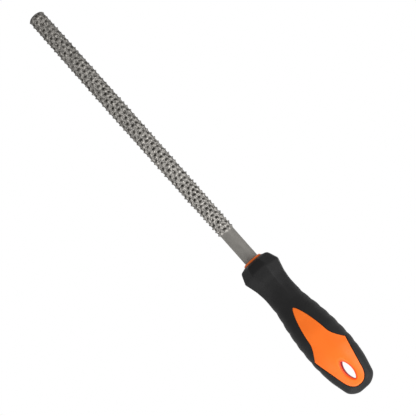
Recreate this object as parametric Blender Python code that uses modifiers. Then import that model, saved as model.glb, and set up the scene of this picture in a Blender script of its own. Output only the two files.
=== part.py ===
"""Round wood rasp with a two-material handle.

The tool lies along +X, from its butt at the origin to its tip. +Z points out of one broad
face of the handle. The blade is one steel forging, the core is hard plastic and the grip is
rubber moulded round the core.
"""

import math

import bmesh
import bpy
from mathutils import Matrix, Vector
from mathutils.geometry import interpolate_bezier

MM = 0.001

# The tool, from its butt at X = 0
TOTAL_LENGTH = 304.7 * MM
GAP = 0.3 * MM

# Blade
HEEL_GROUND_RADIUS = 4.7 * MM
MIDDLE_GROUND_RADIUS = 5.15 * MM
TIP_GROUND_RADIUS = 4.85 * MM
TOOTH_HEIGHT = 0.75 * MM
GULLET_DEPTH = 0.35 * MM
TOOTH_FACE_LENGTH = 0.9 * MM
FIRST_RING = 128.9 * MM
HEEL_RING_SPACING = 2.77 * MM
TIP_RING_SPACING = 3.19 * MM
SPACING_OPENS_FROM = 154.0 * MM
SPACING_OPENS_TO = 170.0 * MM
TOOTH_COLUMNS = 18
TEETH_END = 126.2 * MM
TIP_DOME_LENGTH = 2.2 * MM
DOME_STEPS = 4

# Neck and tang
NECK_RADIUS = 4.7 * MM
SHANK_STEPS = 32
TANG_SHOULDER = 96.0 * MM
TANG_START_RADIUS = 3.9 * MM
TANG_END = 50.0 * MM
TANG_END_RADIUS = 2.4 * MM

# Handle skin: distance from the butt, half width along Y, half height along Z, in millimetres
FRONT_PROFILE = (
    (103.1, 7.4, 7.4),
    (102.7, 8.7, 8.7),
    (101.8, 10.3, 10.3),
    (98.0, 11.9, 11.8),
    (95.2, 12.95, 11.6),
)
BODY_PROFILE = (
    (95.2, 12.95, 11.6),
    (91.0, 11.85, 11.0),
    (86.0, 10.6, 10.0),
    (79.4, 10.05, 9.4),
    (71.0, 10.4, 9.6),
    (57.0, 12.65, 11.3),
    (43.0, 14.25, 12.4),
    (30.5, 14.65, 12.2),
    (18.0, 13.6, 10.2),
    (7.2, 11.1, 7.6),
)
BUTT_LENGTH = 7.2 * MM
BUTT_FLAT_HALF_WIDTH = 3.0 * MM
BUTT_FLAT_HALF_HEIGHT = 2.2 * MM
BUTT_ROUNDING = 1.25
BUTT_STEPS = 5
SECTION_POINTS = 32
OVAL_POWER = 2.25
FACETS_FADE_FROM = 88.0 * MM
FACETS_FADE_TO = 70.0 * MM

HEAD_STATIONS = (95.2 * MM, 93.0 * MM, 90.0 * MM, 87.0 * MM, 83.5 * MM, 79.4 * MM, 76.0 * MM)
TAIL_STATIONS = 3

# Notches across both edges of the grip
NOTCH_COUNT = 7
FIRST_NOTCH = 70.0 * MM
NOTCH_SPACING = 7.34 * MM
NOTCH_DEPTH = 0.3 * MM
NOTCH_SAMPLES = 4
NOTCH_FADE_POWER = 3

# Core hidden under the rubber, in the same terms as the skin
CORE_PROFILE = (
    (101.0, 8.4, 8.4),
    (79.4, 7.7, 7.2),
    (57.0, 10.6, 9.2),
    (34.0, 13.3, 10.4),
    (18.0, 12.1, 8.1),
    (6.0, 8.8, 5.0),
    (2.4, 6.4, 3.6),
)
CORE_STATION_SPACING = 5.0 * MM
NOSE_RADIUS = 6.5 * MM
NOSE_FRONT = 104.5 * MM
NOSE_DOME_LENGTH = 0.8 * MM
NOSE_ROOT = 90.0 * MM
SOCKET_END = 48.5 * MM

# Window in each broad face: half of its outline, as (distance from the butt, half width)
WINDOW_APEX = (65.5, 0.0)
WINDOW_NECK = (44.6, 6.6)
WINDOW_SHOULDER = (31.6, 12.6)
WINDOW_END_START = (12.0, 7.85)
WINDOW_END = (3.5, 0.0)
WINDOW_CURVES = (
    (WINDOW_APEX, (65.5, 1.5), (56.0, 5.0), WINDOW_NECK, 8),
    (WINDOW_NECK, (41.0, 6.95), (38.7, 7.8), WINDOW_SHOULDER, 5),
    (WINDOW_END_START, (7.4, 6.9), (3.5, 4.6), WINDOW_END, 6),
)

# Hanging hole and the dish round it
HOLE_CENTRE = 14.8 * MM
HOLE_HALF_LENGTH = 6.3 * MM
HOLE_HALF_WIDTH = 2.3 * MM
HOLE_MOUTH_HALF_LENGTH = 6.9 * MM
HOLE_MOUTH_HALF_WIDTH = 2.75 * MM
HOLE_POINTEDNESS = 0.14
HOLE_POINTS = 24
HOLE_MOUTH_HEIGHT = 9.5 * MM
DISH_FRONT = 24.5 * MM
DISH_BACK = 6.4 * MM
DISH_HALF_WIDTH = 4.5 * MM
DISH_DEPTH = 0.5 * MM
DISH_POINTS = 20
CUTTER_REACH = 20.0 * MM

STEEL = (0.46, 0.44, 0.41, 1.0)
ORANGE = (1.0, 0.21, 0.035, 1.0)
BLACK = (0.02, 0.02, 0.02, 1.0)


def clear_scene():
    for obj in list(bpy.data.objects):
        bpy.data.objects.remove(obj, do_unlink=True)


def new_collection(name):
    collection = bpy.data.collections.new(name)
    bpy.context.scene.collection.children.link(collection)
    return collection


def add_object(name, mesh, collection):
    obj = bpy.data.objects.new(name, mesh)
    collection.objects.link(obj)
    return obj


def make_material(name, colour, roughness, metallic):
    material = bpy.data.materials.new(name)
    material.use_nodes = True
    shader = material.node_tree.nodes["Principled BSDF"]
    shader.inputs["Base Color"].default_value = colour
    shader.inputs["Roughness"].default_value = roughness
    shader.inputs["Metallic"].default_value = metallic
    return material


def boolean(obj, operation, other):
    modifier = obj.modifiers.new(f"{operation.title()} {other.name}", "BOOLEAN")
    modifier.operation = operation
    modifier.solver = "EXACT"
    modifier.object = other


def baked(obj, collection):
    """The object with its modifiers or its curve turned into plain mesh, its points welded."""
    graph = bpy.context.evaluated_depsgraph_get()
    mesh = bpy.data.meshes.new_from_object(obj.evaluated_get(graph))
    shape = bmesh.new()
    shape.from_mesh(mesh)
    bmesh.ops.remove_doubles(shape, verts=shape.verts, dist=1e-6)
    bmesh.ops.recalc_face_normals(shape, faces=shape.faces)
    shape.to_mesh(mesh)
    shape.free()
    name = obj.name
    placed = obj.matrix_world.copy()
    bpy.data.objects.remove(obj, do_unlink=True)
    result = add_object(name, mesh, collection)
    result.matrix_world = placed
    return result


def turned(name, profile, steps, collection):
    """A turned shape along X. The profile is (distance, radius) points from the tip end down."""
    points = [(radius, 0.0, distance) for distance, radius in profile]
    edges = [(i, i + 1) for i in range(len(points) - 1)]
    mesh = bpy.data.meshes.new(name)
    mesh.from_pydata(points, edges, [])
    obj = add_object(name, mesh, collection)
    screw = obj.modifiers.new("Turn", "SCREW")
    screw.steps = steps
    screw.render_steps = steps
    screw.use_merge_vertices = True
    screw.merge_threshold = 1e-6
    obj.rotation_euler = (0.0, math.pi / 2, 0.0)
    return obj


def loft(name, rings, collection):
    """A closed solid through rings with the same number of points, flat at both ends."""
    shape = bmesh.new()
    rows = [[shape.verts.new(point) for point in ring] for ring in rings]
    shape.faces.new(rows[0])
    shape.faces.new(rows[-1])
    for low, high in zip(rows, rows[1:]):
        for i, corner in enumerate(low):
            j = (i + 1) % len(low)
            shape.faces.new((corner, low[j], high[j], high[i]))
    bmesh.ops.recalc_face_normals(shape, faces=shape.faces)
    mesh = bpy.data.meshes.new(name)
    shape.to_mesh(mesh)
    shape.free()
    return add_object(name, mesh, collection)


def slab(name, outline, half_thickness, collection):
    """A flat outline in the XY plane, thickened both ways along Z."""
    curve = bpy.data.curves.new(name, "CURVE")
    curve.dimensions = "2D"
    curve.fill_mode = "BOTH"
    curve.extrude = half_thickness
    spline = curve.splines.new("POLY")
    spline.points.add(len(outline) - 1)
    for point, (x, y) in zip(spline.points, outline):
        point.co = (x, y, 0.0, 1.0)
    spline.use_cyclic_u = True
    return baked(add_object(name, curve, collection), collection)


# Blade


def ease(value, start, end):
    """0 before start, 1 after end, and a smooth step between them."""
    share = min(1.0, max(0.0, (value - start) / (end - start)))
    return share * share * (3 - 2 * share)


def ring_places():
    """Distance of each ring of teeth from the butt: close together at the heel, wider to the tip."""
    places = [FIRST_RING]
    while places[-1] < TOTAL_LENGTH - TIP_DOME_LENGTH - TIP_RING_SPACING:
        opening = ease(places[-1], SPACING_OPENS_FROM, SPACING_OPENS_TO)
        spacing = HEEL_RING_SPACING + (TIP_RING_SPACING - HEEL_RING_SPACING) * opening
        places.append(places[-1] + spacing)
    return places


def ground_radius(distance):
    """Radius of the bar between its teeth: a parabola through the heel, middle and tip values."""
    share = (distance - TEETH_END) / (TOTAL_LENGTH - TEETH_END)
    straight = HEEL_GROUND_RADIUS + (TIP_GROUND_RADIUS - HEEL_GROUND_RADIUS) * share
    swell = MIDDLE_GROUND_RADIUS - (HEEL_GROUND_RADIUS + TIP_GROUND_RADIUS) / 2
    return straight + swell * 4 * share * (1 - share)


def bar_profile(places):
    """The tip dome, then two stations a ring, gullet and crest, down to the end of the teeth."""
    dome_base = TOTAL_LENGTH - TIP_DOME_LENGTH
    dome_radius = ground_radius(dome_base)
    profile = []
    for step in range(DOME_STEPS + 1):
        angle = math.pi / 2 * step / DOME_STEPS
        profile.append((dome_base + TIP_DOME_LENGTH * math.cos(angle), dome_radius * math.sin(angle)))
    for place in reversed(places):
        for station in (place + TOOTH_FACE_LENGTH, place):
            profile.append((station, ground_radius(station)))
    profile.append((TEETH_END, ground_radius(TEETH_END)))
    profile.append((TEETH_END, 0.0))
    return profile


def raise_teeth(bar, places):
    """Lifts each crest and sinks the gullet before it, on every second column in turn.

    The turned bar's axis is its own Z, and its -X side becomes the top of the tool, so the
    top column is number TOOTH_COLUMNS / 2. The first ring has a tooth on that column.
    """
    column_angle = 2 * math.pi / TOOTH_COLUMNS
    stations = []
    for ring, place in enumerate(places):
        stations.append((place, ring, TOOTH_HEIGHT))
        stations.append((place + TOOTH_FACE_LENGTH, ring, -GULLET_DEPTH))
    for vertex in bar.data.vertices:
        spot = vertex.co
        place, ring, lift = min(stations, key=lambda station: abs(station[0] - spot.z))
        radius = math.hypot(spot.x, spot.y)
        from_top = round(math.atan2(spot.y, spot.x) / column_angle) - TOOTH_COLUMNS // 2
        on_station = abs(place - spot.z) < GAP / 10
        if on_station and (from_top + ring) % 2 == 0:
            grown = (radius + lift) / radius
            spot.x *= grown
            spot.y *= grown


def make_blade(parts, cutters):
    """The toothed bar, joined to a smooth neck and tang."""
    places = ring_places()
    bar = turned("rasp_blade", bar_profile(places), TOOTH_COLUMNS, parts)
    blade = baked(bar, parts)
    raise_teeth(blade, places)
    shank_profile = (
        (TEETH_END + TOOTH_FACE_LENGTH, 0.0),
        (TEETH_END + TOOTH_FACE_LENGTH, NECK_RADIUS - GULLET_DEPTH),
        (TEETH_END, NECK_RADIUS),
        (TANG_SHOULDER, NECK_RADIUS),
        (TANG_SHOULDER, TANG_START_RADIUS),
        (TANG_END, TANG_END_RADIUS),
        (TANG_END, 0.0),
    )
    shank = baked(turned("shank", shank_profile, SHANK_STEPS, cutters), cutters)
    boolean(blade, "UNION", shank)
    blade.data.materials.append(make_material("Forged steel", STEEL, 0.42, 0.9))
    return blade


# Handle


def smooth_value(table, distance, column):
    """Value in a falling table at a distance, by a cubic that keeps each stretch monotone."""
    knots = [row[0] * MM for row in table]
    values = [row[column] * MM for row in table]
    slopes = [(b - a) / (v - u) for a, b, u, v in zip(values, values[1:], knots, knots[1:])]
    tangents = [slopes[0]]
    for before, after in zip(slopes, slopes[1:]):
        tangents.append(0.0 if before * after <= 0 else 2 * before * after / (before + after))
    tangents.append(slopes[-1])
    last = len(slopes) - 1
    i = next((k for k in range(last) if distance >= knots[k + 1]), last)
    width = knots[i + 1] - knots[i]
    t = (distance - knots[i]) / width
    rise = values[i + 1] - values[i]
    curve = t * t * (3 - 2 * t)
    start = t * (1 - t) ** 2 * width * tangents[i]
    end = t * t * (t - 1) * width * tangents[i + 1]
    return values[i] + rise * curve + start + end


def notch_depth(distance):
    """How far the grip's edges are notched: sharp valleys with round swells between them."""
    last_notch = FIRST_NOTCH - NOTCH_SPACING * (NOTCH_COUNT - 1)
    if not last_notch - NOTCH_SPACING / 2 < distance < FIRST_NOTCH + NOTCH_SPACING / 2:
        return 0.0
    phase = math.pi * (distance - FIRST_NOTCH) / NOTCH_SPACING
    return NOTCH_DEPTH * (1 - abs(math.sin(phase)))


def section(distance, half_width, half_height, facets, notch=0.0):
    """One ring round the handle: an oval that turns into a flat-topped octagon as facets goes to 1."""
    ring = []
    for i in range(SECTION_POINTS):
        angle = 2 * math.pi * i / SECTION_POINTS
        cosine = math.cos(angle)
        sine = math.sin(angle)
        off_flat = (angle + math.pi / 8) % (math.pi / 4) - math.pi / 8
        octagon = 1 / math.cos(off_flat)
        oval_y = math.copysign(abs(cosine) ** (2 / OVAL_POWER), cosine)
        oval_z = math.copysign(abs(sine) ** (2 / OVAL_POWER), sine)
        y = facets * octagon * cosine + (1 - facets) * oval_y
        z = facets * octagon * sine + (1 - facets) * oval_z
        side = 1 - notch / half_width * abs(cosine) ** NOTCH_FADE_POWER
        ring.append((distance, y * half_width * side, z * half_height))
    return ring


def body_stations():
    """Stations from the head to the butt: wide apart, and close together along the notches."""
    fine = NOTCH_SPACING / NOTCH_SAMPLES
    notched_from = FIRST_NOTCH + NOTCH_SPACING / 2
    count = NOTCH_COUNT * NOTCH_SAMPLES
    notched = [notched_from - fine * i for i in range(count + 1)]
    wide = (notched[-1] - BUTT_LENGTH) / (TAIL_STATIONS + 1)
    tail = [notched[-1] - wide * i for i in range(1, TAIL_STATIONS + 1)]
    return list(HEAD_STATIONS) + notched + tail


def skin_rings():
    rings = [section(x * MM, w * MM, h * MM, 1.0) for x, w, h in FRONT_PROFILE[:-1]]
    for distance in body_stations():
        width = smooth_value(BODY_PROFILE, distance, 1)
        height = smooth_value(BODY_PROFILE, distance, 2)
        facets = ease(distance, FACETS_FADE_TO, FACETS_FADE_FROM)
        rings.append(section(distance, width, height, facets, notch_depth(distance)))
    end_width = BODY_PROFILE[-1][1] * MM
    end_height = BODY_PROFILE[-1][2] * MM
    for step in range(BUTT_STEPS, -1, -1):
        angle = math.pi / 2 * step / BUTT_STEPS
        share = math.sin(angle) ** BUTT_ROUNDING
        width = BUTT_FLAT_HALF_WIDTH + (end_width - BUTT_FLAT_HALF_WIDTH) * share
        height = BUTT_FLAT_HALF_HEIGHT + (end_height - BUTT_FLAT_HALF_HEIGHT) * share
        rings.append(section(BUTT_LENGTH * (1 - math.cos(angle)), width, height, 0.0))
    return rings


def core_rings(growth):
    """Rings of the hidden core, grown outwards and at both ends by the given amount."""
    front = CORE_PROFILE[0][0] * MM
    back = CORE_PROFILE[-1][0] * MM
    count = round((front - back) / CORE_STATION_SPACING)
    rings = []
    for i in range(count + 1):
        distance = front + (back - front) * i / count
        width = smooth_value(CORE_PROFILE, distance, 1) + growth
        height = smooth_value(CORE_PROFILE, distance, 2) + growth
        end_shift = growth * (1 - 2 * i / count)
        rings.append(section(distance + end_shift, width, height, 0.0))
    return rings


def window_outline(inset):
    """The window's whole outline, drawn in by the inset. Its apex points to the head."""
    half = []
    for start, start_handle, end_handle, end, steps in WINDOW_CURVES:
        corners = [Vector((x, y, 0.0)) * MM for x, y in (start, start_handle, end_handle, end)]
        for point in interpolate_bezier(*corners, steps + 1):
            if not half or (point - half[-1]).length > GAP:
                half.append(point)
    half[0].y = 0.0
    half[-1].y = 0.0
    whole = half + [Vector((p.x, -p.y, 0.0)) for p in reversed(half[1:-1])]
    drawn = []
    for i, point in enumerate(whole):
        along = (whole[(i + 1) % len(whole)] - whole[i - 1]).normalized()
        inwards = Vector((-along.y, along.x, 0.0))
        drawn.append(point + inwards * inset)
    return [(point.x, point.y) for point in drawn]


def hole_ring(height, half_length, half_width):
    """A long oval with slightly pointed ends, level at the given height."""
    ring = []
    for i in range(HOLE_POINTS):
        angle = 2 * math.pi * i / HOLE_POINTS
        pinch = 1 - HOLE_POINTEDNESS * math.cos(angle) ** 2
        x = HOLE_CENTRE + half_length * math.cos(angle)
        ring.append((x, half_width * pinch * math.sin(angle), height))
    return ring


def hole_cutter(cutters):
    """The hanging hole: narrowest at mid thickness, widening evenly to both mouths."""
    spread = CUTTER_REACH / HOLE_MOUTH_HEIGHT
    long_half = HOLE_HALF_LENGTH + (HOLE_MOUTH_HALF_LENGTH - HOLE_HALF_LENGTH) * spread
    wide_half = HOLE_HALF_WIDTH + (HOLE_MOUTH_HALF_WIDTH - HOLE_HALF_WIDTH) * spread
    rings = [
        hole_ring(-CUTTER_REACH, long_half, wide_half),
        hole_ring(0.0, HOLE_HALF_LENGTH, HOLE_HALF_WIDTH),
        hole_ring(CUTTER_REACH, long_half, wide_half),
    ]
    return loft("hanging_hole", rings, cutters)


def dish_floor():
    """A point on the top dish's flat floor over the hole, and the floor's slope along X."""
    front_height = smooth_value(BODY_PROFILE, DISH_FRONT, 2)
    back_height = smooth_value(BODY_PROFILE, BUTT_LENGTH, 2)
    slope = (front_height - back_height) / (DISH_FRONT - BUTT_LENGTH)
    crown = smooth_value(BODY_PROFILE, HOLE_CENTRE, 2)
    return Vector((HOLE_CENTRE, 0.0, crown - DISH_DEPTH)), slope


def dish_cutter(name, side, cutters):
    """A teardrop prism whose flat end lies on the dish floor of one broad face."""
    middle, slope = dish_floor()
    outline = []
    for i in range(DISH_POINTS):
        angle = 2 * math.pi * i / DISH_POINTS
        reach = DISH_FRONT - HOLE_CENTRE if math.cos(angle) > 0 else HOLE_CENTRE - DISH_BACK
        outline.append((reach * math.cos(angle), DISH_HALF_WIDTH * math.sin(angle)))
    prism = slab(name, outline, CUTTER_REACH / 2, cutters)
    tilt = Matrix.Rotation(-math.atan(slope), 4, "Y")
    lift = Matrix.Translation((0.0, 0.0, CUTTER_REACH / 2))
    prism.matrix_world = Matrix.Diagonal((1, 1, side, 1)) @ Matrix.Translation(middle) @ tilt @ lift
    return prism


def nose_profile():
    """The ring round the neck, its front edge rounded into a shallow dome."""
    profile = [(NOSE_FRONT, 0.0)]
    for step in range(DOME_STEPS + 1):
        angle = math.pi / 2 * step / DOME_STEPS
        radius = NECK_RADIUS + (NOSE_RADIUS - NECK_RADIUS) * math.sin(angle)
        profile.append((NOSE_FRONT - NOSE_DOME_LENGTH * (1 - math.cos(angle)), radius))
    profile.append((NOSE_ROOT, NOSE_RADIUS))
    profile.append((NOSE_ROOT, 0.0))
    return profile


def make_core(parts, cutters):
    core = loft("handle_core", core_rings(0.0), parts)
    nose = turned("nose_ring", nose_profile(), SHANK_STEPS, cutters)
    panels = loft("window_panels", skin_rings(), cutters)
    window = slab("window_slab", window_outline(GAP / 2), CUTTER_REACH, cutters)
    boolean(panels, "INTERSECT", window)
    socket_profile = (
        (TOTAL_LENGTH, 0.0),
        (TOTAL_LENGTH, NECK_RADIUS + GAP),
        (TANG_SHOULDER - GAP, NECK_RADIUS + GAP),
        (TANG_SHOULDER - GAP, TANG_START_RADIUS + GAP),
        (SOCKET_END, TANG_END_RADIUS + GAP),
        (SOCKET_END, 0.0),
    )
    socket = turned("tang_socket", socket_profile, SHANK_STEPS, cutters)
    boolean(core, "UNION", nose)
    boolean(core, "UNION", panels)
    boolean(core, "DIFFERENCE", socket)
    boolean(core, "DIFFERENCE", dish_cutter("top_dish", 1, cutters))
    boolean(core, "DIFFERENCE", dish_cutter("bottom_dish", -1, cutters))
    boolean(core, "DIFFERENCE", hole_cutter(cutters))
    core.data.materials.append(make_material("Orange plastic", ORANGE, 0.38, 0.0))
    return core


def make_grip(parts, cutters):
    grip = loft("soft_grip", skin_rings(), parts)
    hollow = loft("core_clearance", core_rings(GAP), cutters)
    mouth_radius = NOSE_RADIUS + GAP
    mouth_profile = (
        (TOTAL_LENGTH, 0.0),
        (TOTAL_LENGTH, mouth_radius),
        (NOSE_ROOT, mouth_radius),
        (NOSE_ROOT, 0.0),
    )
    mouth = turned("nose_clearance", mouth_profile, SHANK_STEPS, cutters)
    openings = slab("window_openings", window_outline(-GAP / 2), CUTTER_REACH, cutters)
    boolean(grip, "DIFFERENCE", hollow)
    boolean(grip, "DIFFERENCE", mouth)
    boolean(grip, "DIFFERENCE", openings)
    grip.data.materials.append(make_material("Black rubber", BLACK, 0.6, 0.0))
    return grip


def hide_cutters(cutters):
    for cutter in cutters.objects:
        cutter.hide_render = True
        cutter.display_type = "WIRE"


def main():
    clear_scene()
    parts = new_collection("wood_rasp")
    cutters = new_collection("cutters")
    frame = add_object("rasp_frame", None, parts)
    for piece in (make_blade(parts, cutters), make_core(parts, cutters), make_grip(parts, cutters)):
        piece.data.shade_smooth()
        piece.data.set_sharp_from_angle(angle=math.radians(30))
        piece.parent = frame
    hide_cutters(cutters)


main()
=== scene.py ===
"""The look of a round wood rasp: toothed steel blade, orange core and black rubber grip.

Shapes are worked out in millimetres from the butt along X, with Y across the broad face and
Z out of it, and turned into metres where a mesh is made.
"""

import math

import bpy
import numpy as np
from mathutils import Matrix, Vector


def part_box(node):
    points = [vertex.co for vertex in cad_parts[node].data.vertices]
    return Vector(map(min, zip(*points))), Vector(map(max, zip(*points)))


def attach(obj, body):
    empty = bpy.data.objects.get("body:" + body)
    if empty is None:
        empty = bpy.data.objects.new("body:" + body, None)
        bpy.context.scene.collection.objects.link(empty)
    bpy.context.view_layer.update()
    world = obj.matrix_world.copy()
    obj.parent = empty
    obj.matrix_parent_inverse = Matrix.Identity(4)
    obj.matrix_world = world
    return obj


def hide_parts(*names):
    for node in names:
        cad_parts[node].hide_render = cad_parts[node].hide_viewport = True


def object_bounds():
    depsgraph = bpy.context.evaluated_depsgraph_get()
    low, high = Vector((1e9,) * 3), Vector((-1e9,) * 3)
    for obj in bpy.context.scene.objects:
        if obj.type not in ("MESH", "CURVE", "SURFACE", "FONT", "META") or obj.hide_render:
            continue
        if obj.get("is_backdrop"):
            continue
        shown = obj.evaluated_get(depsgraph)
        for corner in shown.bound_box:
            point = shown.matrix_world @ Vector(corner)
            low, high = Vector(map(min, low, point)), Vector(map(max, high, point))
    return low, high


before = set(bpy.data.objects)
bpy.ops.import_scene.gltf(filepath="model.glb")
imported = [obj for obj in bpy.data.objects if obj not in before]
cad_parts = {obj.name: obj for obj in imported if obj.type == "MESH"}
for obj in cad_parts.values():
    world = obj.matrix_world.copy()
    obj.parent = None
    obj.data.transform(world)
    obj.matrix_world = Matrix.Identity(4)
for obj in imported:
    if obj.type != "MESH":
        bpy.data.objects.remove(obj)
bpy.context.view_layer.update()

MM = 0.001
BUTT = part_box("soft_grip")[0].x


def reach(node):
    """Where a CAD node starts and ends along the tool, in millimetres from the butt."""
    low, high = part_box(node)
    return (low.x - BUTT) / MM, (high.x - BUTT) / MM


TANG_END, TIP = reach("rasp_blade")
NOSE_FRONT = reach("handle_core")[1]
MOUTH_FRONT = reach("soft_grip")[1]
LIP_START = 101.0

# Numbers that all shapes share
QUARTER = math.pi / 2
TINY = 1e-9
WELD_DECIMALS = 5
CURVE_STEPS = 200

# Blade: bar, dome and tang
NECK_RADIUS = 4.72
TIP_RADIUS = 4.87
MIDDLE_SWELL = 0.4
DOME_LENGTH = 2.2
TANG_SHOULDER = 96.0
TANG_RADII = (2.4, 3.9)
SHOULDER_LENGTH = 0.1
TANG_ROWS = 12
NECK_ROWS = 24
DOME_ROWS = 16

# Blade: rings of teeth from the heel to the tip
HEEL = 126.2
FIRST_RING = 128.85
HEEL_SPACING = 2.77
TIP_SPACING = 3.19
SPACING_OPENS = (154.0, 170.0)
TOOTH_COLUMNS = 18
COLUMN_WANDER_DEGREES = 3.0
WANDER_WAVES = 4
STEPS_PER_COLUMN = 8
STATIONS_PER_RING = 11
NECK_STOPS_SHORT = 0.4
RELIEF_OPENS_OVER = (HEEL - 0.2, HEEL + 0.4)
RELIEF_OPENS_FROM_TIP = (0.2, 1.6)
PUNCHED_OVER = (HEEL + 0.8, HEEL + 1.8)

# Blade: one tooth and the gullet in front of it
TOOTH_HEIGHT = 1.15
TOOTH_BACK = 1.9
TOOTH_FACE = 0.5
TOOTH_HALF_WIDTH = 1.3
TOOTH_WRAP = 0.3
BACK_POWER = 1.3
CREST_POWER = 1.3
GULLET_CENTRE = 0.95
GULLET_HALF_LENGTH = 0.8
GULLET_HALF_WIDTH = 1.15
GULLET_DEPTH = 0.55
GULLET_POWER = 1.5
BURR_HEIGHT = 0.22
BURR_OUTWARDS = 0.25
BURR_WIDTH = 0.35
TOOTH_REACH_ALONG = TOOTH_BACK + 0.5
TOOTH_REACH_ROUND = 0.42

# Blade: how much single teeth vary, in millimetres, radians or shares of their size, and the
# shares of their height and of their gullet's depth that are missing at the tip
TOOTH_SEED = 11
CREST_STRAYS = 0.25
COLUMN_STRAYS = math.radians(3.0)
HEIGHT_STRAYS = 0.2
DEPTH_STRAYS = 0.4
SLANT_STRAYS = 0.3
WIDTH_STRAYS = 0.14
HEIGHT_LOST = 0.3
DEPTH_LOST = 0.55

# Blade: how bright the steel is at each height above the bar's ground surface, with painted shade in
# the gullets and on the crests
SHINE_AND_SHADE_AT = (-0.55, -0.1, 0.0, 0.2, 0.7, 1.0)
SHINE_AND_PAINTED_SHADE = (0.09, 0.43, 0.75, 0.75, 0.45, 0.37)
NECK_SHINE = 0.56
# painted shade that darkens the steel from 30 mm past the first ring to the tip
TIP_PAINTED_SHADE = 0.14
TIP_SHADE_OVER = (FIRST_RING + 30, TIP)

# Handle skin: distance, half width, half height
BODY_PROFILE = (
    (0.0, 9.2, 5.9),
    (8.0, 11.4, 7.9),
    (18.0, 13.65, 10.2),
    (30.5, 14.7, 12.2),
    (43.0, 14.3, 12.4),
    (57.0, 12.75, 11.3),
    (71.0, 10.5, 9.7),
    (79.4, 10.1, 9.45),
    (86.0, 10.6, 10.0),
    (91.0, 11.75, 11.0),
    (95.2, 12.95, 11.65),
)
FRONT_PROFILE = (
    (92.0, 14.1, 13.3),
    (98.0, 11.8, 11.5),
    (LIP_START, 10.62, 10.6),
    (101.6, 10.25, 10.25),
    (102.0, 9.8, 9.8),
    (102.4, 8.8, 8.8),
    (102.7, 7.8, 7.8),
    (MOUTH_FRONT, 6.85, 6.85),
)
RIDGE_SOFTNESS = 0.12
OVAL_POWER = 2.25
FACETS = 8
FACETS_APPEAR_OVER = (70.0, 88.0)
FACET_SHARPNESS = 60
BUTT_LENGTH = 5.5
BUTT_FLAT = (3.0, 2.2)
BUTT_ROUNDING = 0.58
ANGLE_ROUNDS = 6

# Handle skin: rows of points along it, and columns in its broad bands and its sides
FRONT_ROWS = 72
LIP_ROWS = 15
BUTT_ROWS = 16
CAP_ROWS = 5
BAND_STEPS = 21
SIDE_STEPS = 63
OCTAGON_HALF = math.pi / FACETS
BAND_OPENS_OVER = 8.0

# Notches across both edges of the grip, counted from the waist to the butt
NOTCH_COUNT = 7
FIRST_NOTCH = 70.0
NOTCH_SPACING = 7.34
NOTCH_DEPTH = 0.34
NOTCH_FADE_POWER = 3

# Places in front of the first notch, in spacings, over which the notches fade in and out
NOTCHES_START = (0.2 - NOTCH_COUNT, 0.5 - NOTCH_COUNT)
NOTCHES_STOP = (0.5, 0.2)

# Window: half of its outline from its apex to its butt end, as curves through control points
WINDOW_CURVES = (
    ((65.5, 0.0), (65.5, 1.5), (56.0, 5.0), (44.6, 6.6)),
    ((44.6, 6.6), (41.0, 6.85), (38.7, 7.3), (31.6, 12.6)),
    ((31.6, 12.6), (25.0, 11.02), (18.6, 9.5), (12.0, 7.95)),
    ((12.0, 7.95), (7.4, 7.0), (3.5, 4.7), (3.5, 0.0)),
)
OUTLINE_STEP = 0.42
GROOVE_HALF = 0.1
RUBBER_EDGE = 0.28
PANEL_EDGE = 0.25

# Walls
RUBBER_THICKNESS = 1.4
PANEL_THICKNESS = 2.0
PANEL_EDGE_DEPTH = 1.6

# Hanging hole and the dish round it
HOLE_CENTRE = 14.8
HOLE_HALF_LENGTH = 6.42
HOLE_HALF_WIDTH = 2.16
HOLE_DRAFT = 0.25
HOLE_EDGE = 0.45
HOLE_POINTEDNESS = 0.14
HOLE_OUTLINE_POINTS = 721
BARREL_WALL = 1.6
DISH_FRONT = 9.7
DISH_BACK = 7.6
DISH_HALF_WIDTH = 4.4
DISH_DEPTH = 1.3
DISH_POWER = 1.5
PANEL_ROWS = 60
INSIDE_ROWS = 25
WALL_ROWS = 9

# Shade of the hole: comes in over distances inwards of its mouth and depths under the skin
RIM_SHADE_OVER = (-1.1, -0.3)
WALL_SHADE_OVER = (0.5, 2.5)

# Hidden core body and nose ring: distance, radius
CORE_PROFILE = (
    (46.5, 0.0),
    (46.5, 5.6),
    (48.0, 7.1),
    (57.0, 7.6),
    (79.4, 7.5),
    (90.0, 8.1),
    (99.6, 8.1),
    (100.6, 7.2),
    (100.8, 6.5),
)
CORE_COLUMNS = 96
NOSE_RADIUS = 6.5
NOSE_DOME = 1.15
NOSE_LIP = 0.25
BORE_GAP = 0.15
SOCKET_GAP = 0.2

# Materials: each colour or factor comes with the value where it holds. A roughness is a range,
# a grain is a noise's size and detail, and a bump is its depth in metres and its strength.
WHITE = (1.0, 1.0, 1.0)
NOISE_CORE = (0.3, 0.7)

# Steel: colours by brightness and painted shade, and factors on them by noise or by how far the
# surface turns away, which paints shade on the toothed bar's flanks
STEEL_COLOURS = (
    (0.0, (0.06, 0.053, 0.046)),
    (0.3, (0.15, 0.14, 0.126)),
    (0.5, (0.265, 0.253, 0.232)),
    (0.75, (0.47, 0.45, 0.42)),
    (1.0, (0.75, 0.72, 0.67)),
)
BLOTCH_SIZE = 3.0 * MM
BLOTCH_FACTORS = ((0.3, (0.86, 0.86, 0.86)), (0.7, WHITE))
GLINT_SIZE = 0.65 * MM
GLINT_FACTORS = ((0.4, (0.42, 0.42, 0.42)), (0.62, (1.6, 1.6, 1.6)))
FLANK_PAINTED_SHADE = ((0.3, WHITE), (0.95, (0.45, 0.45, 0.45)))
SCRATCH_SIZE = 0.25 * MM
SCRATCH_STRETCH = (18.0, 1.0, 1.0)
STEEL_ROUGHNESS = (0.52, 0.66)
STEEL_GRAIN = (0.3 * MM, 4.0)
STEEL_BUMP = (0.02 * MM, 0.6)
STEEL_METALLIC = 0.75
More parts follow.
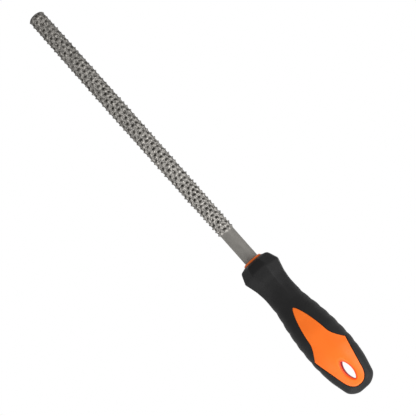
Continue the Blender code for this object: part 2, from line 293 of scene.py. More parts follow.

# Orange plastic: colours by noise, and by the hole's shade its painted shade, redder and darker, and
# its painted light, a glow standing in for light bounced into it
PLASTIC_PATCH_SIZE = 9.0 * MM
PLASTIC_COLOURS = ((0.35, (0.98, 0.175, 0.012)), (0.65, (1.0, 0.187, 0.015)))
HOLE_PAINTED_SHADE_COLOURS = ((0.5, (1.0, 0.09, 0.002)), (0.85, (0.4, 0.02, 0.03)))
RIM_SHADES = (0.0, 0.5)
PAINTED_HOLE_LIGHT_SHADES = (0.6, 1.0)
PAINTED_HOLE_LIGHT_COLOUR = (0.16, 0.01, 0.018, 1.0)
PLASTIC_GLOSS_SIZE = 2.0 * MM
PLASTIC_ROUGHNESS = (0.36, 0.44)
PLASTIC_GRAIN = (0.35 * MM, 2.0)
PLASTIC_BUMP = (0.01 * MM, 0.5)
PLASTIC_SPECULAR = 0.3

# Black rubber: colours by noise, and a sheen of a weight and a roughness
RUBBER_PATCH_SIZE = 6.0 * MM
RUBBER_COLOURS = ((0.3, (0.006, 0.006, 0.0062)), (0.7, (0.0078, 0.0078, 0.008)))
RUBBER_GLOSS_SIZE = 1.5 * MM
RUBBER_ROUGHNESS = (0.5, 0.6)
RUBBER_GRAIN = (0.22 * MM, 3.0)
RUBBER_BUMP = (0.03 * MM, 0.7)
RUBBER_SPECULAR = 0.3
RUBBER_SHEEN = (0.07, 0.35)

# Studio in metres: each softbox has its direction from the tool, distance, size and power
AMBIENT = 0.46
FLOOR_HALF = 3.0
FLOOR_COLOUR = (0.8, 0.8, 0.8, 1.0)
SOFTBOXES = (
    ("key_light", (-1.1, -0.9, 0.7), 0.9, 0.7, 5.7),
    ("fill_light", (-1.25, 0.75, 0.6), 0.9, 0.7, 5.1),
)

# Camera: lens and shift in millimetres, width of the view and reach in metres
CAMERA_LENS = 1000.0
CAMERA_BACK = (-0.054, -0.064, 1.0)
CAMERA_UP = (0.7465, -0.6654, 0.0)
CAMERA_SHIFT = (-6.53, -1.15, 0.0)
CAMERA_REACH = 10.0
VIEW_WIDTH = 0.2538


# Numbers and curves


def ease(value, start, end):
    """0 before start, 1 after end, and a smooth step between them."""
    share = np.clip((value - start) / (end - start), 0.0, 1.0)
    return share * share * (3 - 2 * share)


def monotone(table, column, x):
    """One column of a table at x, by a cubic that doesn't overshoot and straight lines beyond."""
    knots = np.array([row[0] for row in table])
    values = np.array([row[column] for row in table])
    slopes = np.diff(values) / np.diff(knots)
    turning = slopes[:-1] * slopes[1:] <= 0
    sums = np.where(turning, 1.0, slopes[:-1] + slopes[1:])
    tangents = np.zeros(len(knots))
    tangents[1:-1] = np.where(turning, 0.0, 2 * slopes[:-1] * slopes[1:] / sums)
    tangents[[0, -1]] = slopes[[0, -1]]
    inside = np.clip(x, knots[0], knots[-1])
    i = np.clip(np.searchsorted(knots, inside, side="right") - 1, 0, len(slopes) - 1)
    width = knots[i + 1] - knots[i]
    t = (inside - knots[i]) / width
    rise = (values[i + 1] - values[i]) * t * t * (3 - 2 * t)
    bend = width * t * (1 - t) * ((1 - t) * tangents[i] - t * tangents[i + 1])
    beyond = (x - inside) * np.where(x < knots[0], tangents[0], tangents[-1])
    return values[i] + rise + bend + beyond


def lower_of(a, b):
    """The lower of two values, with the corner where they cross rounded off."""
    return -RIDGE_SOFTNESS * np.logaddexp(-a / RIDGE_SOFTNESS, -b / RIDGE_SOFTNESS)


def bezier(corners, steps):
    """Points along a cubic curve that runs from the first of four control points to the last."""
    t = np.linspace(0.0, 1.0, steps)[:, None]
    a, b, c, d = (np.array(corner) for corner in corners)
    return a * (1 - t) ** 3 + 3 * b * t * (1 - t) ** 2 + 3 * c * t * t * (1 - t) + d * t ** 3


def respaced(points, step):
    """The same line with evenly spaced points about one step apart."""
    lengths = np.linalg.norm(np.diff(points, axis=0), axis=1)
    along = np.concatenate([[0.0], np.cumsum(lengths)])
    places = np.linspace(0.0, along[-1], max(2, round(along[-1] / step) + 1))
    return np.stack([np.interp(places, along, column) for column in points.T], axis=1)


def unit(vectors):
    """The same directions at length 1."""
    return vectors / np.maximum(np.linalg.norm(vectors, axis=-1, keepdims=True), TINY)


# Meshes: points in millimetres, faces as lists of point numbers


def grid_faces(rows, columns, closed):
    """Quads between the points of a grid numbered row by row, its rows joined up if closed."""
    across = np.arange(columns if closed else columns - 1)
    following = (across + 1) % columns
    i = np.arange(rows - 1)[:, None] * columns
    quads = [i + across, i + following, i + columns + following, i + columns + across]
    return np.stack(quads, axis=-1).reshape(-1, 4)


def joined(patches):
    """Points and faces of several (points, faces) as one."""
    counts = np.cumsum([0] + [len(points) for points, _ in patches])
    points = np.concatenate([points for points, _ in patches])
    faces = np.concatenate([faces + count for (_, faces), count in zip(patches, counts)])
    return points, faces


def welded(points, faces):
    """Points in one place made one, and faces that lost a corner turned into triangles."""
    rounded = np.round(points, WELD_DECIMALS)
    _, first, index = np.unique(rounded, axis=0, return_index=True, return_inverse=True)
    index = index.reshape(-1)
    kept = [list(dict.fromkeys(face)) for face in index[faces].tolist()]
    return points[first], [face for face in kept if len(face) > 2]


def point_normals(points, faces):
    """Unit normals at the points, averaged from the quads and triangles round each."""
    corners = np.array([face if len(face) == 4 else face + face[-1:] for face in faces])
    across = points[corners[:, 2]] - points[corners[:, 0]]
    other = points[corners[:, 3]] - points[corners[:, 1]]
    flat = np.cross(across, other)
    normals = np.zeros_like(points)
    for corner in range(4):
        np.add.at(normals, corners[:, corner], flat)
    return unit(normals)


def add_piece(name, points, faces, material, node):
    """A smooth mesh piece from points in millimetres, standing for one CAD node."""
    mesh = bpy.data.meshes.new(name)
    mesh.from_pydata((points * MM + (BUTT, 0.0, 0.0)).tolist(), [], faces)
    mesh.shade_smooth()
    mesh.materials.append(material)
    piece = bpy.data.objects.new(name, mesh)
    bpy.context.scene.collection.objects.link(piece)
    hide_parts(node)
    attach(piece, "root")
    return piece


def store(piece, name, values):
    """Keeps one number for each point of a piece for its material to read."""
    attribute = piece.data.attributes.new(name, "FLOAT", "POINT")
    attribute.data.foreach_set("value", values.astype(np.float32))


# Blade


def ring_places():
    """Distance of each ring of crests from the butt, closer together at the heel."""
    places = [FIRST_RING]
    while places[-1] < TIP - DOME_LENGTH - TIP_SPACING:
        opening = float(ease(places[-1], *SPACING_OPENS))
        places.append(places[-1] + HEEL_SPACING + (TIP_SPACING - HEEL_SPACING) * opening)
    return places


def ground_radius(x):
    """Radius of the steel under its teeth: tang, plain neck, slightly swelling bar, domed tip."""
    share = np.clip((x - HEEL) / (TIP - HEEL), 0.0, 1.0)
    bar = NECK_RADIUS + (TIP_RADIUS - NECK_RADIUS) * share + MIDDLE_SWELL * 4 * share * (1 - share)
    tang = np.interp(x, (TANG_END, TANG_SHOULDER), TANG_RADII)
    into_dome = np.clip((x - (TIP - DOME_LENGTH)) / DOME_LENGTH, 0.0, 1.0)
    return np.where(x < TANG_SHOULDER, tang, bar) * np.sqrt(1 - into_dome ** 2)


def column_angle(column):
    """Angle of a column of teeth from the top, which wanders as hand-punched rows do."""
    angle = 2 * math.pi * column / TOOTH_COLUMNS
    wander = COLUMN_WANDER_DEGREES + COLUMN_WANDER_DEGREES * math.cos(WANDER_WAVES * angle)
    return angle - math.radians(wander)


def blade_stations(places):
    """Distances of the blade's rows of points, evenly spaced from each ring of crests to the next."""
    tang = np.linspace(TANG_END, TANG_SHOULDER - SHOULDER_LENGTH, TANG_ROWS)
    neck = np.linspace(TANG_SHOULDER, HEEL - NECK_STOPS_SHORT, NECK_ROWS)
    starts = [HEEL] + places
    ends = places + [TIP - DOME_LENGTH]
    toothed = [np.linspace(a, b, STATIONS_PER_RING, endpoint=False) for a, b in zip(starts, ends)]
    dome = TIP - DOME_LENGTH * (1 - np.sin(np.linspace(0.0, QUARTER, DOME_ROWS)))
    return np.concatenate([[TANG_END], tang, neck, *toothed, dome])


def tooth_relief(a, b, height):
    """(lift, sink) round one tooth: a runs from its crest to the tip, b runs round the bar.

    The steep face looks to the tip over a gullet, the back falls away to the heel, the
    shoulders of the tooth wrap a little way round the gullet and a burr stands along its edge.
    """
    past = a - TOOTH_WRAP * (b / TOOTH_HALF_WIDTH) ** 2
    back = np.clip(1 + past / TOOTH_BACK, 0.0, 1.0) ** BACK_POWER
    face = np.clip(1 - past / TOOTH_FACE, 0.0, 1.0)
    across = np.clip(1 - np.abs(b / TOOTH_HALF_WIDTH) ** CREST_POWER, 0.0, 1.0)
    ahead = np.abs((a - GULLET_CENTRE) / GULLET_HALF_LENGTH) ** GULLET_POWER
    bowl = 1 - ahead - np.abs(b / GULLET_HALF_WIDTH) ** GULLET_POWER
    burr = BURR_HEIGHT * np.clip(1 - np.abs(bowl + BURR_OUTWARDS) / BURR_WIDTH, 0.0, 1.0)
    tooth = height * np.where(past < 0, back, face) * across
    return np.maximum(tooth, burr), np.clip(bowl, 0.0, 1.0)


def blade_relief(stations, angles, places):
    """How far each point of the bar stands above its ground surface or sinks below it."""
    chance = np.random.default_rng(TOOTH_SEED)
    lift = np.zeros((len(stations), len(angles)))
    sink = np.zeros_like(lift)
    for ring, place in enumerate(places):
        for column in range(ring % 2, TOOTH_COLUMNS, 2):
            shift, turn, growth, slant, spread = chance.uniform(-1.0, 1.0, 5)
            crest = place + CREST_STRAYS * shift
            middle = column_angle(column) + COLUMN_STRAYS * turn
            share = (place - FIRST_RING) / (TIP - FIRST_RING)
            height = TOOTH_HEIGHT * (1 + HEIGHT_STRAYS * growth - HEIGHT_LOST * share * share)
            depth = 1 + DEPTH_STRAYS * growth - DEPTH_LOST * share * share
            rows = np.flatnonzero(np.abs(stations - crest) < TOOTH_REACH_ALONG)
            swing = (angles - middle + math.pi) % (2 * math.pi) - math.pi
            columns = np.flatnonzero(np.abs(swing) < TOOTH_REACH_ROUND)
            b = (swing[columns] * ground_radius(crest))[None, :] * (1 + WIDTH_STRAYS * spread)
            a = (stations[rows] - crest)[:, None] + SLANT_STRAYS * slant * b
            raised, sunk = tooth_relief(a, b, height)
            patch = np.ix_(rows, columns)
            lift[patch] = np.maximum(lift[patch], raised)
            sink[patch] = np.maximum(sink[patch], sunk * depth)
    return lift * np.maximum(1 - sink, 0.0) - GULLET_DEPTH * sink


def steel_shine_and_painted_shade(x, stands):
    """Brightness from 0 to 1: bright ground surface, painted shade in gullets, on crests and towards
    the tip.
    """
    shine_and_painted_shade = np.interp(stands, SHINE_AND_SHADE_AT, SHINE_AND_PAINTED_SHADE)
    # painted shade darkening the bar towards the tip
    shine_and_painted_shade -= TIP_PAINTED_SHADE * ease(x, *TIP_SHADE_OVER)
    return NECK_SHINE + (shine_and_painted_shade - NECK_SHINE) * ease(x, *PUNCHED_OVER)


def make_blade(material):
    """The whole forging: tang, neck and toothed bar, as rings of points closed at both ends."""
    places = ring_places()
    stations = blade_stations(places)
    count = TOOTH_COLUMNS * STEPS_PER_COLUMN
    angles = 2 * math.pi * np.arange(count) / count
    relief = blade_relief(stations, angles, places)
    relief *= ease(stations, *RELIEF_OPENS_OVER)[:, None]
    relief *= ease(TIP - stations, *RELIEF_OPENS_FROM_TIP)[:, None]
    radius = ground_radius(stations)[:, None] + relief
    radius[0] = 0.0
    x = np.broadcast_to(stations[:, None], radius.shape)
    points = np.stack([x, radius * np.sin(angles), radius * np.cos(angles)], axis=-1)
    faces = grid_faces(len(stations), count, True)[:, ::-1]
    points, faces = welded(points.reshape(-1, 3), faces)
    piece = add_piece("blade", points, faces, material, "rasp_blade")
    stands = np.hypot(points[:, 1], points[:, 2]) - ground_radius(points[:, 0])
    # painted shade: the steel's colour darkens in the gullets, on the crests and towards the tip
    store(piece, "shine_and_painted_shade", steel_shine_and_painted_shade(points[:, 0], stands))
    store(piece, "punched", ease(points[:, 0], *PUNCHED_OVER))


# Handle skin


def sizes(x):
    """Half width and half height of the handle's section at each distance."""
    into = np.clip(1 - x / BUTT_LENGTH, 0.0, 1.0)
    share = (1 - into ** 2) ** BUTT_ROUNDING
    both = []
    for column, flat in enumerate(BUTT_FLAT, start=1):
        full = lower_of(monotone(BODY_PROFILE, column, x), monotone(FRONT_PROFILE, column, x))
        both.append(flat + (full - flat) * share)
    return both


def notch_depth(x):
    """Depth of the notches at each distance: sharp valleys with round swells between them."""
    phase = (x - FIRST_NOTCH) / NOTCH_SPACING
    faded = ease(phase, *NOTCHES_STOP) * ease(phase, *NOTCHES_START)
    return NOTCH_DEPTH * (1 - np.abs(np.sin(math.pi * phase))) * faded


def squeezed(x, cosine):
    """Share of the full half width left by the notches, deepest at the very edge."""
    return 1 - notch_depth(x) / sizes(x)[0] * np.abs(cosine) ** NOTCH_FADE_POWER


def skin(x, phi, shrink=1.0):
    """Points of the handle's skin: x along it, phi round it from the +Y edge over the top."""
    width, height = sizes(x)
    faceted = ease(x, *FACETS_APPEAR_OVER)
    cosine = np.cos(phi)
    sine = np.sin(phi)
    turns = [2 * math.pi * k / FACETS for k in range(FACETS)]
    sides = [np.maximum(np.cos(phi - turn), 0.0) ** FACET_SHARPNESS for turn in turns]
    octagon = sum(sides) ** (-1 / FACET_SHARPNESS)
    oval_y = np.sign(cosine) * np.abs(cosine) ** (2 / OVAL_POWER)
    oval_z = np.sign(sine) * np.abs(sine) ** (2 / OVAL_POWER)
    y = width * squeezed(x, cosine) * (faceted * octagon * cosine + (1 - faceted) * oval_y)
    z = height * (faceted * octagon * sine + (1 - faceted) * oval_z)
    return np.stack(np.broadcast_arrays(x, y * shrink, z * shrink), axis=-1)


def angle_at(x, y):
    """Angle round the oval part of the skin, from edge to top, of a point y across at x."""
    width = sizes(x)[0]
    cosine = np.clip(np.abs(y) / width, 0.0, 1.0)
    for _ in range(ANGLE_ROUNDS):
        full = width * squeezed(x, cosine)
        cosine = np.clip(np.abs(y) / full, 0.0, 1.0) ** (OVAL_POWER / 2)
    return np.arccos(cosine)


def top_height(x, y):
    """Height of the skin's top over the point y across at x, where the section is oval."""
    return sizes(x)[1] * np.sin(angle_at(x, y)) ** (2 / OVAL_POWER)


def window_half(outwards):
    """Half of the window's outline from apex to butt end, moved out by a distance."""
    stretches = [respaced(bezier(corners, CURVE_STEPS), OUTLINE_STEP) for corners in WINDOW_CURVES]
    half = np.concatenate([stretches[0]] + [stretch[1:] for stretch in stretches[1:]])
    before = np.vstack([half[1] * (1, -1), half[:-1]])
    after = np.vstack([half[1:], half[-2] * (1, -1)])
    along = unit(after - before)
    return half + outwards * np.stack([along[:, 1], -along[:, 0]], axis=1)


def edge_arc(radius, steps=4):
    """(sideways, down) steps of a rounded edge that turns from the skin to straight down."""
    turns = [QUARTER * (i + 1) / steps for i in range(steps)]
    return [(radius * math.sin(turn), radius * (1 - math.cos(turn))) for turn in turns]


def rounded_edge(radius, depth):
    """(sideways, down) steps of a rounded edge that goes on as a wall to the given depth."""
    return edge_arc(radius) + [(radius, (radius + depth) / 2), (radius, depth)]


# Rubber grip


def band_opening(distance, over):
    """Half angle of the strip of skin that closes over the window's ends."""
    return OCTAGON_HALF * np.sqrt(np.clip(distance / over, 0.0, 1.0))


def front_rings(apex):
    """Distances of the full rings from the nose to the window's apex, and their strips' angles."""
    sides = np.linspace(apex, LIP_START, FRONT_ROWS)
    lip = np.linspace(LIP_START, MOUTH_FRONT, LIP_ROWS)[1:]
    x = np.concatenate([sides, lip])[::-1]
    return x, band_opening(x - apex, BAND_OPENS_OVER)


def butt_rings(end):
    """Distances of the full rings from the window's end to the butt, and their strips' angles."""
    turns = np.linspace(math.acos(1 - end / BUTT_LENGTH), 0.0, BUTT_ROWS)
    x = BUTT_LENGTH * (1 - np.cos(turns))
    return x, band_opening(x[0] - x, x[0])


def band(x, start, end, steps):
    """A patch of skin with a row at each distance, running between two angles."""
    share = np.linspace(0.0, 1.0, steps + 1)
    phi = start[:, None] + (end - start)[:, None] * share
    points = skin(x[:, None], phi)
    return points.reshape(-1, 3), grid_faces(len(x), steps + 1, False)


def end_cap():
    """The flat end of the butt, as rings that shrink to its middle."""
    columns = 2 * (BAND_STEPS + SIDE_STEPS)
    phi = QUARTER + OCTAGON_HALF - 2 * math.pi * np.arange(columns) / columns
    shrink = np.linspace(1.0, 0.0, CAP_ROWS)[:, None]
    points = skin(np.zeros((1, columns)), phi, shrink)
    return points.reshape(-1, 3), grid_faces(len(shrink), columns, True)


def open_skin():
    """The rubber's outer skin with its openings at both windows and at the nose."""
    outline = window_half(GROOVE_HALF + RUBBER_EDGE)
    front, front_open = front_rings(outline[0, 0])
    butt, butt_open = butt_rings(outline[-1, 0])
    window_edge = angle_at(outline[:, 0], outline[:, 1])
    x = np.concatenate([front[:-1], outline[:, 0], butt[1:]])
    edge = np.concatenate([QUARTER - front_open[:-1], window_edge, QUARTER - butt_open[1:]])
    patches = [band(x, middle + edge, middle - edge, SIDE_STEPS) for middle in (0.0, math.pi)]
    for distances, opening in ((front, front_open), (butt, butt_open)):
        for middle in (QUARTER, -QUARTER):
            patches.append(band(distances, middle + opening, middle - opening, BAND_STEPS))
    return welded(*joined(patches + [end_cap()]))


def open_edges(faces):
    """Edges, as pairs of point numbers, that only one face uses."""
    steps = {step for face in faces for step in zip(face, face[1:] + face[:1])}
    return sorted((a, b) for a, b in steps if (b, a) not in steps)


def thick(points, faces, edge_radius, thickness):
    """A closed body from an open skin: a second skin inside and rounded edges round openings."""
    normals = point_normals(points, faces)
    edges = open_edges(faces)
    following = dict(edges)
    before = {b: a for a, b in edges}
    rim = np.array(sorted(following))
    ahead = points[[following[a] for a in rim]]
    behind = points[[before[a] for a in rim]]
    side = unit(np.cross(ahead - behind, normals[rim]))
    rows = [
        points[rim] + side * sideways - normals[rim] * down
        for sideways, down in rounded_edge(edge_radius, thickness)
    ]
    count = len(points)
    strip = [rim]
    strip += [2 * count + len(rim) * k + np.arange(len(rim)) for k in range(len(rows))]
    strip += [rim + count]
    place = {point: i for i, point in enumerate(rim)}
    a, b = np.array([(place[start], place[end]) for start, end in edges]).T
    faces = faces + [[corner + count for corner in reversed(face)] for face in faces]
    for upper, lower in zip(strip, strip[1:]):
        faces += np.stack([upper[b], upper[a], lower[a], lower[b]], axis=1).tolist()
    return np.concatenate([points, points - normals * thickness, *rows]), faces


def make_grip(material):
    """The rubber sleeve, open at the nose and at both windows."""
    points, faces = open_skin()
    points, faces = thick(points, faces, RUBBER_EDGE, RUBBER_THICKNESS)
    add_piece("rubber_grip", points, faces, material, "soft_grip")


# Orange core


def hole_outline(outwards):
    """Closed outline of the hanging hole moved out by a distance: a slightly pointed oval."""
    angle = np.linspace(-math.pi, math.pi, HOLE_OUTLINE_POINTS)
    pinch = 1 - HOLE_POINTEDNESS * np.cos(angle) ** 2
    x = (HOLE_HALF_LENGTH + outwards) * np.cos(angle)
    y = (HOLE_HALF_WIDTH + outwards) * pinch * np.sin(angle)
    return x, y


def hole_points(directions, outwards):
    """Points of the hole's outline in the given directions from its middle."""
    x, y = hole_outline(outwards)
    distance = np.interp(directions, np.arctan2(y, x), np.hypot(x, y))
    return np.stack([HOLE_CENTRE + distance * np.cos(directions), distance * np.sin(directions)], 1)


def dish_depth(x, y):
    """How deep the thumb dish round the hanging hole is under the skin."""
    ahead = x - HOLE_CENTRE
    length = np.where(ahead > 0, DISH_FRONT, DISH_BACK)
    inside = 1 - (ahead / length) ** 2 - (y / DISH_HALF_WIDTH) ** 2
    return DISH_DEPTH * np.clip(inside, 0.0, 1.0) ** DISH_POWER


def panel_surface():
    """Rows of points of one window panel, from its edge to the mouth of the hanging hole."""
    half = window_half(-GROOVE_HALF - PANEL_EDGE)
    outline = np.concatenate([half[::-1] * (1, -1), half[1:-1]])
    directions = np.arctan2(outline[:, 1], outline[:, 0] - HOLE_CENTRE)
    directions = np.where(directions > math.pi - TINY, -math.pi, directions)
    mouth = hole_points(directions, HOLE_DRAFT + HOLE_EDGE)
    share = np.linspace(0.0, 1.0, PANEL_ROWS)[:, None, None]
    plan = outline + (mouth - outline) * share
    x = plan[..., 0]
    y = plan[..., 1]
    z = top_height(x, y) - dish_depth(x, y)
    return np.stack([x, y, z], axis=-1), directions


def edge_loops(loop, normals, away, steps):
    """Loops of points that carry a closed edge on; away is 1 for an outer edge, -1 for a hole."""
    along = np.roll(loop, -1, axis=0) - np.roll(loop, 1, axis=0)
    side = unit(np.cross(along, normals)) * away
    return [loop + side * sideways - normals * down for sideways, down in steps]


def panel_inside(foot, barrel):
    """Rows of points of a panel's inner face, from the barrel of the hole to the panel's edge."""
    share = np.linspace(1.0, 0.0, INSIDE_ROWS)[:, None, None]
    plan = foot[:, :2] + (barrel[:, :2] - foot[:, :2]) * share
    z = top_height(plan[..., 0], plan[..., 1]) - PANEL_THICKNESS
    return np.concatenate([plan, z[..., None]], axis=-1)


def level(plan):
    """Points at mid thickness from a plan outline."""
    return np.column_stack([plan, np.zeros(len(plan))])


def wall_shade(points):
    """0.5 round the mouth of the hanging hole, 1 deep on its wall and 0 everywhere else."""
    x, y, z = points.T
    ahead = x - HOLE_CENTRE
    mouth = hole_points(np.arctan2(y, ahead), HOLE_DRAFT + HOLE_EDGE) - (HOLE_CENTRE, 0.0)
    inwards = np.linalg.norm(mouth, axis=1) - np.hypot(ahead, y)
    depth = top_height(x, y) - dish_depth(x, y) - np.abs(z)
    # painted shade comes in deep on the hole's wall
    deep_painted_shade = np.where(inwards > 0, ease(depth, *WALL_SHADE_OVER), 0.0)
    return (ease(inwards, *RIM_SHADE_OVER) + deep_painted_shade) / 2


def make_panels(material):
    """Both window panels and the barrel of the hanging hole, as one hollow moulding."""
    surface, directions = panel_surface()
    rows, columns = surface.shape[:2]
    faces = grid_faces(rows, columns, True).tolist()
    normals = point_normals(surface.reshape(-1, 3), faces).reshape(surface.shape)
    outer = edge_loops(surface[0], normals[0], 1, rounded_edge(PANEL_EDGE, PANEL_EDGE_DEPTH))
    mouth = edge_loops(surface[-1], normals[-1], -1, edge_arc(HOLE_EDGE))
    throat = level(hole_points(directions, 0.0))
    shares = np.linspace(0.0, 1.0, WALL_ROWS)[1:]
    wall = [mouth[-1] + (throat - mouth[-1]) * share for share in shares]
    barrel = level(hole_points(directions, BARREL_WALL))
    inside = panel_inside(outer[-1], barrel)
    loops = np.array([barrel, *inside, *outer[::-1], *surface, *mouth, *wall])
    quads = grid_faces(len(loops), columns, True)
    top = loops.reshape(-1, 3)
    points, faces = welded(*joined([(top, quads), (top * (1, 1, -1), quads[:, ::-1])]))
    piece = add_piece("window_panels", points, faces, material, "handle_core")
    store(piece, "shaded", wall_shade(points))


def quarter_turn(x, r, length, rise, steps=8):
    """(distance, radius) along a quarter oval round (x, r), from its side to its front."""
    turns = [QUARTER * i / steps for i in range(steps + 1)]
    return [(x + length * math.sin(turn), r + rise * math.cos(turn)) for turn in turns]


def nose_profile():
    """Profile of the hidden core body, the domed nose ring and the bore, from axis to axis."""
    bore = NECK_RADIUS + BORE_GAP
    lip = bore + NOSE_LIP
    dome = quarter_turn(NOSE_FRONT - NOSE_DOME, lip, NOSE_DOME, NOSE_RADIUS - lip)
    inner = quarter_turn(NOSE_FRONT - NOSE_LIP, lip, NOSE_LIP, -NOSE_LIP, steps=4)[::-1]
    socket = [
        (TANG_SHOULDER - SOCKET_GAP, bore),
        (TANG_SHOULDER - SOCKET_GAP, TANG_RADII[1] + BORE_GAP),
        (TANG_END - SOCKET_GAP, TANG_RADII[0] + BORE_GAP),
        (TANG_END - SOCKET_GAP, 0.0),
    ]
    return list(CORE_PROFILE) + dome + inner[1:] + socket


def make_core_body(material):
    """The turned part of the core: hidden body, nose ring and socket."""
    profile = np.array(nose_profile())
    angles = 2 * math.pi * np.arange(CORE_COLUMNS) / CORE_COLUMNS
    x = np.broadcast_to(profile[:, :1], (len(profile), CORE_COLUMNS))
    y = profile[:, 1:] * np.sin(angles)
    z = profile[:, 1:] * np.cos(angles)
    points = np.stack([x, y, z], axis=-1).reshape(-1, 3)
    points, faces = welded(points, grid_faces(len(profile), CORE_COLUMNS, True)[:, ::-1])
    add_piece("core_body", points, faces, material, "handle_core")


# Materials


class Shader:
    """A new material whose Principled inputs are fed by procedural nodes."""

    def __init__(self, name):
        self.material = bpy.data.materials.new(name)
        self.material.use_nodes = True
        self.tree = self.material.node_tree
        self.surface = self.tree.nodes["Principled BSDF"]
        self.place = self.tree.nodes.new("ShaderNodeTexCoord").outputs["Object"]

    def set(self, **values):
        for name, value in values.items():
            self.surface.inputs[name.replace("_", " ")].default_value = value

    def feed(self, output, name):
        self.tree.links.new(output, self.surface.inputs[name])

    def noise(self, size, detail=3.0, stretch=(1.0, 1.0, 1.0)):
        """Noise whose blobs are about size metres across, longer where stretch is above 1."""
        mapping = self.tree.nodes.new("ShaderNodeMapping")
        mapping.inputs["Scale"].default_value = [1 / (size * part) for part in stretch]
        self.tree.links.new(self.place, mapping.inputs["Vector"])
        noise = self.tree.nodes.new("ShaderNodeTexNoise")
        noise.inputs["Scale"].default_value = 1.0
        noise.inputs["Detail"].default_value = detail
        self.tree.links.new(mapping.outputs["Vector"], noise.inputs["Vector"])
        return noise.outputs["Fac"]

    def ramp(self, value, stops):
        """Colours at given values, and the mix of its neighbours between them."""
        ramp = self.tree.nodes.new("ShaderNodeValToRGB")
        elements = ramp.color_ramp.elements
        while len(elements) < len(stops):
            elements.new(0.5)
        for element, (position, colour) in zip(elements, stops):
            element.position = position
            element.color = (*colour, 1.0)
        self.tree.links.new(value, ramp.inputs["Fac"])
        return ramp.outputs["Color"]

    def span(self, value, low, high, to_low=0.0, to_high=1.0):
        """A value moved from one range to another and kept inside it."""
        span = self.tree.nodes.new("ShaderNodeMapRange")
        names = ("From Min", "From Max", "To Min", "To Max")
        for name, number in zip(names, (low, high, to_low, to_high)):
            span.inputs[name].default_value = number
        self.tree.links.new(value, span.inputs["Value"])
        return span.outputs["Result"]

    def mix(self, share, first, second, blend="MIX"):
        """Two colours mixed; share and either colour may be numbers or outputs.

        A mix node keeps its share in socket 0, its colours in 6 and 7 and their mix in output 2.
        """
        mix = self.tree.nodes.new("ShaderNodeMix")
        mix.data_type = "RGBA"
        mix.blend_type = blend
        for index, source in ((0, share), (6, first), (7, second)):
            if isinstance(source, bpy.types.NodeSocket):
                self.tree.links.new(source, mix.inputs[index])
            else:
                mix.inputs[index].default_value = source
        return mix.outputs[2]

    def bump(self, height, distance, strength):
        bump = self.tree.nodes.new("ShaderNodeBump")
        bump.inputs["Strength"].default_value = strength
        bump.inputs["Distance"].default_value = distance
        self.tree.links.new(height, bump.inputs["Height"])
        self.feed(bump.outputs["Normal"], "Normal")

    def facing(self):
        """0 where the surface faces the eye and 1 where it turns away."""
        return self.tree.nodes.new("ShaderNodeLayerWeight").outputs["Facing"]

    def attribute(self, name):
        node = self.tree.nodes.new("ShaderNodeAttribute")
        node.attribute_name = name
        return node.outputs["Fac"]


def steel_material():
    """Ground and punched steel: painted shade in the gullets and on the toothed bar's flanks,
    glinting teeth, patches and scratches all over.
    """
    shader = Shader("tool_steel")
    # painted shade in the gullets, on the crests and towards the tip sets the steel's colours
    colours_with_painted_shade = shader.ramp(shader.attribute("shine_and_painted_shade"), STEEL_COLOURS)
    blotches = shader.ramp(shader.noise(BLOTCH_SIZE), BLOTCH_FACTORS)
    patchy = shader.mix(1.0, colours_with_painted_shade, blotches, "MULTIPLY")
    glints = shader.ramp(shader.noise(GLINT_SIZE, 1.0), GLINT_FACTORS)
    # painted shade: the toothed bar darkens where its surface turns away from the eye
    painted_flank_shade = shader.ramp(shader.facing(), FLANK_PAINTED_SHADE)
    glints_and_flank_shade = shader.mix(1.0, glints, painted_flank_shade, "MULTIPLY")
    punched_glints_and_shade = shader.mix(shader.attribute("punched"), (*WHITE, 1.0), glints_and_flank_shade)
    shader.feed(shader.mix(1.0, patchy, punched_glints_and_shade, "MULTIPLY"), "Base Color")
    scratches = shader.noise(SCRATCH_SIZE, 2.0, SCRATCH_STRETCH)
    shader.feed(shader.span(scratches, *NOISE_CORE, *STEEL_ROUGHNESS), "Roughness")
    shader.bump(shader.noise(*STEEL_GRAIN), *STEEL_BUMP)
    shader.set(Metallic=STEEL_METALLIC)
    return shader.material


def plastic_material():
    """Smooth orange plastic: a little uneven, with painted shade redder in the hole and painted light
    glowing faintly deep in it.
    """
    shader = Shader("orange_plastic")
    shade = shader.ramp(shader.noise(PLASTIC_PATCH_SIZE), PLASTIC_COLOURS)
    shaded = shader.attribute("shaded")
    # painted shade: the mouth and wall of the hanging hole turn redder and darker
    deep_painted_shade = shader.ramp(shaded, HOLE_PAINTED_SHADE_COLOURS)
    shader.feed(shader.mix(shader.span(shaded, *RIM_SHADES), shade, deep_painted_shade), "Base Color")
    # painted light: an emission deep on the hole's wall stands in for light bounced into it
    shader.feed(shader.span(shaded, *PAINTED_HOLE_LIGHT_SHADES), "Emission Strength")
    gloss = shader.noise(PLASTIC_GLOSS_SIZE)
    shader.feed(shader.span(gloss, *NOISE_CORE, *PLASTIC_ROUGHNESS), "Roughness")
    shader.bump(shader.noise(*PLASTIC_GRAIN), *PLASTIC_BUMP)
    shader.set(Specular_IOR_Level=PLASTIC_SPECULAR, Emission_Color=PAINTED_HOLE_LIGHT_COLOUR)
    return shader.material


def rubber_material():
    """Black rubber with a fine grain from its mould and a slight sheen where it turns away."""
    shader = Shader("black_rubber")
    shade = shader.ramp(shader.noise(RUBBER_PATCH_SIZE), RUBBER_COLOURS)
    shader.feed(shade, "Base Color")
    gloss = shader.noise(RUBBER_GLOSS_SIZE)
    shader.feed(shader.span(gloss, *NOISE_CORE, *RUBBER_ROUGHNESS), "Roughness")
    shader.bump(shader.noise(*RUBBER_GRAIN), *RUBBER_BUMP)
    weight, roughness = RUBBER_SHEEN
    shader.set(Specular_IOR_Level=RUBBER_SPECULAR, Sheen_Weight=weight, Sheen_Roughness=roughness)
    return shader.material


# Studio


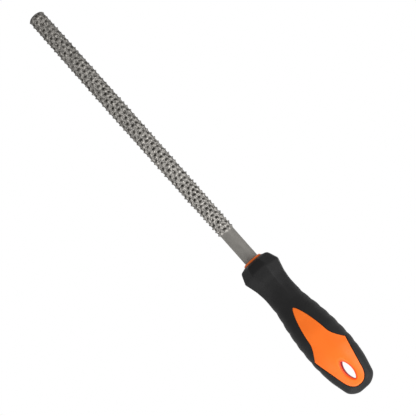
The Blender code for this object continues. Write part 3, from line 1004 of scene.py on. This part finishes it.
def seen_directly(tree):
    """1 for what the camera looks at itself and 0 for light on its way round."""
    return tree.nodes.new("ShaderNodeLightPath").outputs["Is Camera Ray"]


def make_world():
    """Soft light from everywhere, and plain white where the camera looks past the floor."""
    world = bpy.data.worlds.new("studio")
    world.use_nodes = True
    tree = world.node_tree
    background = tree.nodes["Background"]
    strength = tree.nodes.new("ShaderNodeMapRange")
    strength.inputs["To Min"].default_value = AMBIENT
    strength.inputs["To Max"].default_value = 1.0
    tree.links.new(seen_directly(tree), strength.inputs["Value"])
    tree.links.new(strength.outputs["Result"], background.inputs["Strength"])
    background.inputs["Color"].default_value = (*WHITE, 1.0)
    bpy.context.scene.world = world


def floor_material():
    """Pale floor that lights the object from below like paper and looks plain white."""
    material = bpy.data.materials.new("floor_white")
    material.use_nodes = True
    tree = material.node_tree
    paper = tree.nodes["Principled BSDF"]
    paper.inputs["Base Color"].default_value = FLOOR_COLOUR
    paper.inputs["Roughness"].default_value = 1.0
    glow = tree.nodes.new("ShaderNodeEmission")
    mix = tree.nodes.new("ShaderNodeMixShader")
    tree.links.new(seen_directly(tree), mix.inputs[0])
    tree.links.new(paper.outputs[0], mix.inputs[1])
    tree.links.new(glow.outputs[0], mix.inputs[2])
    tree.links.new(mix.outputs[0], tree.nodes["Material Output"].inputs["Surface"])
    return material


def make_floor():
    """A large plain sheet that the tool lies on."""
    low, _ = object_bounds()
    corners = [(-1, -1), (1, -1), (1, 1), (-1, 1)]
    points = [(x * FLOOR_HALF, y * FLOOR_HALF, low.z) for x, y in corners]
    mesh = bpy.data.meshes.new("floor")
    mesh.from_pydata(points, [], [(0, 1, 2, 3)])
    mesh.materials.append(floor_material())
    floor = bpy.data.objects.new("floor", mesh)
    bpy.context.scene.collection.objects.link(floor)
    floor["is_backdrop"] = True


def aim(obj, back, up):
    """Turns an object to look along -back with up at the top of its view."""
    z = Vector(back).normalized()
    x = Vector(up).cross(z).normalized()
    obj.rotation_euler = Matrix((x, z.cross(x), z)).transposed().to_euler()


def make_softbox(name, back, distance, size, power):
    """A large square lamp turned to the middle of the tool, seen only by what it lights."""
    lamp = bpy.data.lights.new(name, "AREA")
    lamp.size = size
    lamp.energy = power
    light = bpy.data.objects.new(name, lamp)
    bpy.context.scene.collection.objects.link(light)
    light.location = middle_of_tool() + Vector(back).normalized() * distance
    aim(light, back, (1.0, 0.0, 0.0))
    light.visible_camera = False


def middle_of_tool():
    low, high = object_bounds()
    return (low + high) / 2


def make_camera():
    """Looks almost straight down on the broad face, tip at the upper left."""
    lens = bpy.data.cameras.new("camera")
    lens.lens = CAMERA_LENS
    camera = bpy.data.objects.new("camera", lens)
    bpy.context.scene.collection.objects.link(camera)
    back = Vector(CAMERA_BACK).normalized()
    distance = VIEW_WIDTH / 2 / math.tan(lens.angle / 2)
    camera.location = middle_of_tool() + Vector(CAMERA_SHIFT) * MM + back * distance
    aim(camera, back, CAMERA_UP)
    lens.clip_end = CAMERA_REACH
    bpy.context.scene.camera = camera


make_blade(steel_material())
orange = plastic_material()
make_panels(orange)
make_core_body(orange)
make_grip(rubber_material())
make_floor()
make_world()
for softbox in SOFTBOXES:
    make_softbox(*softbox)
make_camera()
bpy.context.scene.view_settings.view_transform = "Standard"
